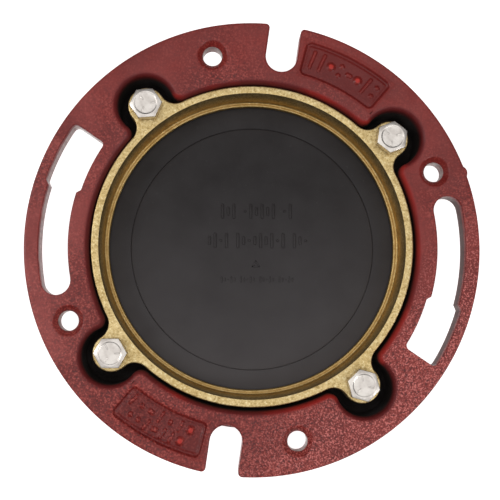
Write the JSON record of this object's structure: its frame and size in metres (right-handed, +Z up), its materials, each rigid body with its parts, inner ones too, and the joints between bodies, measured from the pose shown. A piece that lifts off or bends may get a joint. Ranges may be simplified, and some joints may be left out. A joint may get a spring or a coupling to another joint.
{
  "type": "closet flange",
  "caption": "Cast-iron no-caulk toilet floor flange with a bolted brass compression ring, rubber pipe gasket and knock-out test cap.",
  "frame": {"origin": "on the pipe's axis, at the bottom face of the hub, where the part stands", "axes": "+Z up the pipe's axis, out of the floor; +X across the plate, with the two closet-bolt slots to the left and right"},
  "size_m": [0.1778, 0.1778, 0.0527],
  "materials": {
    "red_iron": "semi-gloss red paint over a sand-cast surface, bare on the machined hole and slot walls",
    "cast_brass": "pale, matte, grit-blasted casting",
    "black_rubber": "matte moulded rubber",
    "stainless_steel": "bright, lightly brushed"
  },
  "bodies": {
    "flange": {"flange_body": "red_iron", "gasket": "black_rubber"},
    "ring": {"compression_ring": "cast_brass"},
    "cap": {"test_cap": "black_rubber"},
    "bolt_1": {"bolt_1": "stainless_steel"},
    "bolt_2": {"bolt_2": "stainless_steel"},
    "bolt_3": {"bolt_3": "stainless_steel"},
    "bolt_4": {"bolt_4": "stainless_steel"}
  },
  "joints": [
    {"name": "ring_press", "type": "slide", "parent": "flange", "child": "ring", "axis": [0, 0, 1], "range_m": [-0.005, 0], "deforming": ["gasket"]},
    {"name": "cap_lift", "type": "slide", "parent": "ring", "child": "cap", "axis": [0, 0, 1], "range_m": [0, 0.06]},
    {"name": "bolt_1_turn", "type": "hinge", "parent": "ring", "child": "bolt_1", "pos_m": [0.05424, 0.04265, 0.0485], "axis": [0, 0, 1], "range_deg": [-1418, 0]},
    {"name": "bolt_2_turn", "type": "hinge", "parent": "ring", "child": "bolt_2", "pos_m": [-0.04254, 0.05504, 0.0485], "axis": [0, 0, 1], "range_deg": [-1418, 0]},
    {"name": "bolt_3_turn", "type": "hinge", "parent": "ring", "child": "bolt_3", "pos_m": [-0.05494, -0.04174, 0.0485], "axis": [0, 0, 1], "range_deg": [-1418, 0]},
    {"name": "bolt_4_turn", "type": "hinge", "parent": "ring", "child": "bolt_4", "pos_m": [0.04185, -0.05414, 0.0485], "axis": [0, 0, 1], "range_deg": [-1418, 0]}
  ],
  "couplings": [
    {"joint": "bolt_1_turn", "follows": "ring_press", "rad_per_m": 4947.4},
    {"joint": "bolt_2_turn", "follows": "ring_press", "rad_per_m": 4947.4},
    {"joint": "bolt_3_turn", "follows": "ring_press", "rad_per_m": 4947.4},
    {"joint": "bolt_4_turn", "follows": "ring_press", "rad_per_m": 4947.4}
  ]
}
